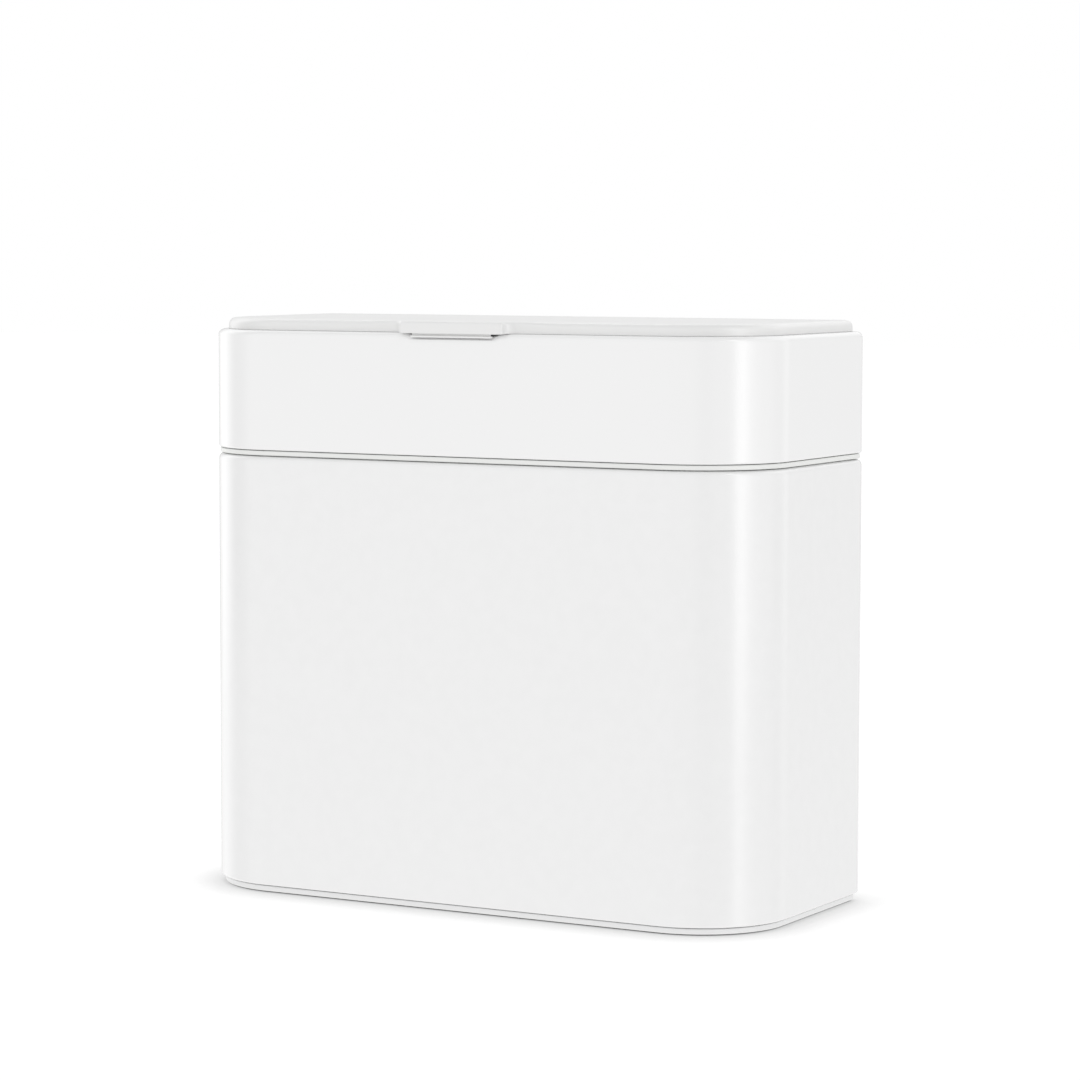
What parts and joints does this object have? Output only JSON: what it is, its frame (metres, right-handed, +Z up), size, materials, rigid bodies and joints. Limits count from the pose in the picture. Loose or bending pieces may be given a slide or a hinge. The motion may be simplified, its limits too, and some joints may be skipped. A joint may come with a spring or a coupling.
{
  "type": "compost caddy",
  "caption": "Countertop compost caddy: painted steel body with a flat back and round front corners, lift-out bucket with a bail, lift-off upper unit and a hinged lid with a finger tab.",
  "frame": {"origin": "bottom centre of the bounding box, on the plane that the feet stand on", "axes": "+Z up, -Y towards the front with the finger tab, +X to the right seen from the front"},
  "size_m": [0.23, 0.1018, 0.2105],
  "materials": {
    "painted_steel": "white powder coat, smooth semi-gloss",
    "lid_plastic": "white moulded ABS, satin",
    "inner_plastic": "off-white moulded polypropylene, fine satin",
    "trim_plastic": "pale grey moulded plastic, satin",
    "silicone": "translucent grey silicone, matt",
    "rubber": "grey moulded rubber, matt",
    "stainless_steel": "drawn stainless wire and pins, bright",
    "zinced_steel": "zinc plated steel"
  },
  "bodies": {
    "lower_body": {"lower_shell": "painted_steel", "shell_collar": "inner_plastic", "floor_plate": "zinced_steel", "base_tray": "trim_plastic", "base_screw_1": "zinced_steel", "base_screw_2": "zinced_steel", "base_screw_3": "zinced_steel", "base_screw_4": "zinced_steel", "foot_1": "rubber", "foot_2": "rubber", "foot_3": "rubber", "foot_4": "rubber"},
    "bucket": {"inner_bucket": "inner_plastic"},
    "bail": {"bail_wire": "stainless_steel", "bail_grip": "trim_plastic"},
    "upper_unit": {"upper_band": "painted_steel", "upper_frame": "inner_plastic", "hinge_pin_left": "stainless_steel", "hinge_pin_right": "stainless_steel"},
    "lid": {"lid_cover": "lid_plastic", "tab_grip": "lid_plastic", "lid_liner": "inner_plastic", "lid_seal": "silicone", "lid_screw_1": "zinced_steel", "lid_screw_2": "zinced_steel", "lid_screw_3": "zinced_steel", "lid_screw_4": "zinced_steel"}
  },
  "joints": [
    {"name": "bucket_lift", "type": "slide", "parent": "lower_body", "child": "bucket", "axis": [0, 0, 1], "range_m": [0, 0.2]},
    {"name": "bail_swing", "type": "hinge", "parent": "bucket", "child": "bail", "pos_m": [0, 0.0011, 0.148], "axis": [-1, 0, 0], "range_deg": [0, 90]},
    {"name": "upper_lift", "type": "slide", "parent": "bucket", "child": "upper_unit", "axis": [0, 0, 1], "range_m": [0, 0.06]},
    {"name": "lid_hinge", "type": "hinge", "parent": "upper_unit", "child": "lid", "pos_m": [0, 0.0477, 0.20805], "axis": [-1, 0, 0], "range_deg": [0, 100]}
  ]
}
